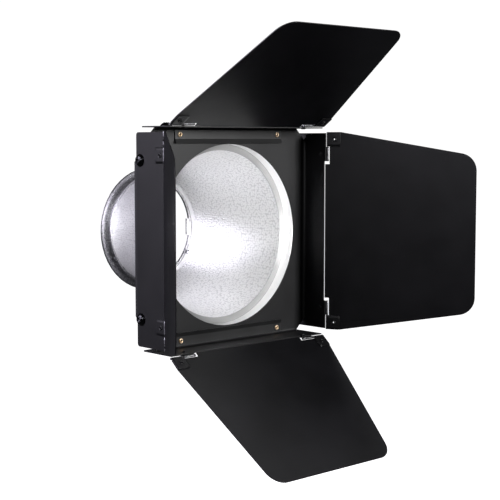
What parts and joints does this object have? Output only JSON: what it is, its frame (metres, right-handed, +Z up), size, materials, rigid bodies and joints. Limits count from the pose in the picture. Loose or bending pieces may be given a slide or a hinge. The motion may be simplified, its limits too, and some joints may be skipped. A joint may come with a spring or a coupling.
{
  "type": "barn doors",
  "caption": "Hinged trapezoid leaves on a square sheet-metal frame, clamped to the square collar of a round hammered reflector with a bayonet neck.",
  "frame": {"origin": "centre of the bayonet ring's rear face", "axes": "+Y back along the light axis to the flash head, the front faces -Y, +Z up, +X to the right seen from the front"},
  "size_m": [0.383, 0.2984, 0.4098],
  "materials": {
    "black_paint": "matte black powder coat, faintly violet",
    "rail_paint": "satin black paint",
    "zinc": "bright zinc plate",
    "brass": "pale brass eyelet",
    "black_screw": "glossy black oxide",
    "reflector": "bright hammered aluminium",
    "collar_paint": "matte black paint"
  },
  "bodies": {
    "frame": {"door_frame": "black_paint", "top_rail": "rail_paint", "bottom_rail": "rail_paint", "top_rail_rivet_left": "brass", "top_rail_rivet_right": "brass", "bottom_rail_rivet_left": "brass", "bottom_rail_rivet_right": "brass", "reflector_bowl": "reflector", "reflector_collar": "collar_paint", "bayonet_ring": "zinc", "bayonet_rivet_1": "zinc", "bayonet_rivet_2": "zinc", "bayonet_rivet_3": "zinc", "right_hinge_1_frame_half": "black_paint", "right_hinge_1_frame_rivet": "black_paint", "right_clamp_screw_1": "black_screw", "right_hinge_2_frame_half": "black_paint", "right_hinge_2_frame_rivet": "black_paint", "right_clamp_screw_2": "black_screw", "top_hinge_1_frame_half": "black_paint", "top_hinge_1_frame_rivet": "black_paint", "top_clamp_screw_1": "black_screw", "top_hinge_2_frame_half": "black_paint", "top_hinge_2_frame_rivet": "black_paint", "top_clamp_screw_2": "black_screw", "left_hinge_1_frame_half": "black_paint", "left_hinge_1_frame_rivet": "black_paint", "left_clamp_screw_1": "black_screw", "left_hinge_2_frame_half": "black_paint", "left_hinge_2_frame_rivet": "black_paint", "left_clamp_screw_2": "black_screw", "bottom_hinge_1_frame_half": "black_paint", "bottom_hinge_1_frame_rivet": "black_paint", "bottom_clamp_screw_1": "black_screw", "bottom_hinge_2_frame_half": "black_paint", "bottom_hinge_2_frame_rivet": "black_paint", "bottom_clamp_screw_2": "black_screw"},
    "right_door": {"right_leaf": "black_paint", "right_hinge_1_leaf_half": "black_paint", "right_hinge_1_leaf_rivet": "black_paint", "right_hinge_2_leaf_half": "black_paint", "right_hinge_2_leaf_rivet": "black_paint"},
    "top_door": {"top_leaf": "black_paint", "top_hinge_1_leaf_half": "black_paint", "top_hinge_1_leaf_rivet": "black_paint", "top_hinge_2_leaf_half": "black_paint", "top_hinge_2_leaf_rivet": "black_paint"},
    "left_door": {"left_leaf": "black_paint", "left_hinge_1_leaf_half": "black_paint", "left_hinge_1_leaf_rivet": "black_paint", "left_hinge_2_leaf_half": "black_paint", "left_hinge_2_leaf_rivet": "black_paint"},
    "bottom_door": {"bottom_leaf": "black_paint", "bottom_hinge_1_leaf_half": "black_paint", "bottom_hinge_1_leaf_rivet": "black_paint", "bottom_hinge_2_leaf_half": "black_paint", "bottom_hinge_2_leaf_rivet": "black_paint"}
  },
  "joints": [
    {"name": "right_door_hinge", "type": "hinge", "parent": "frame", "child": "right_door", "pos_m": [0.11, -0.1598, 0], "axis": [0, 0, 1], "range_deg": [-35, 88]},
    {"name": "top_door_hinge", "type": "hinge", "parent": "frame", "child": "top_door", "pos_m": [0, -0.1598, 0.11], "axis": [-1, 0, 0], "range_deg": [-68, 81]},
    {"name": "left_door_hinge", "type": "hinge", "parent": "frame", "child": "left_door", "pos_m": [-0.11, -0.1598, 0], "axis": [0, 0, -1], "range_deg": [-44, 79]},
    {"name": "bottom_door_hinge", "type": "hinge", "parent": "frame", "child": "bottom_door", "pos_m": [0, -0.1598, -0.11], "axis": [1, 0, 0], "range_deg": [-75, 74]}
  ]
}
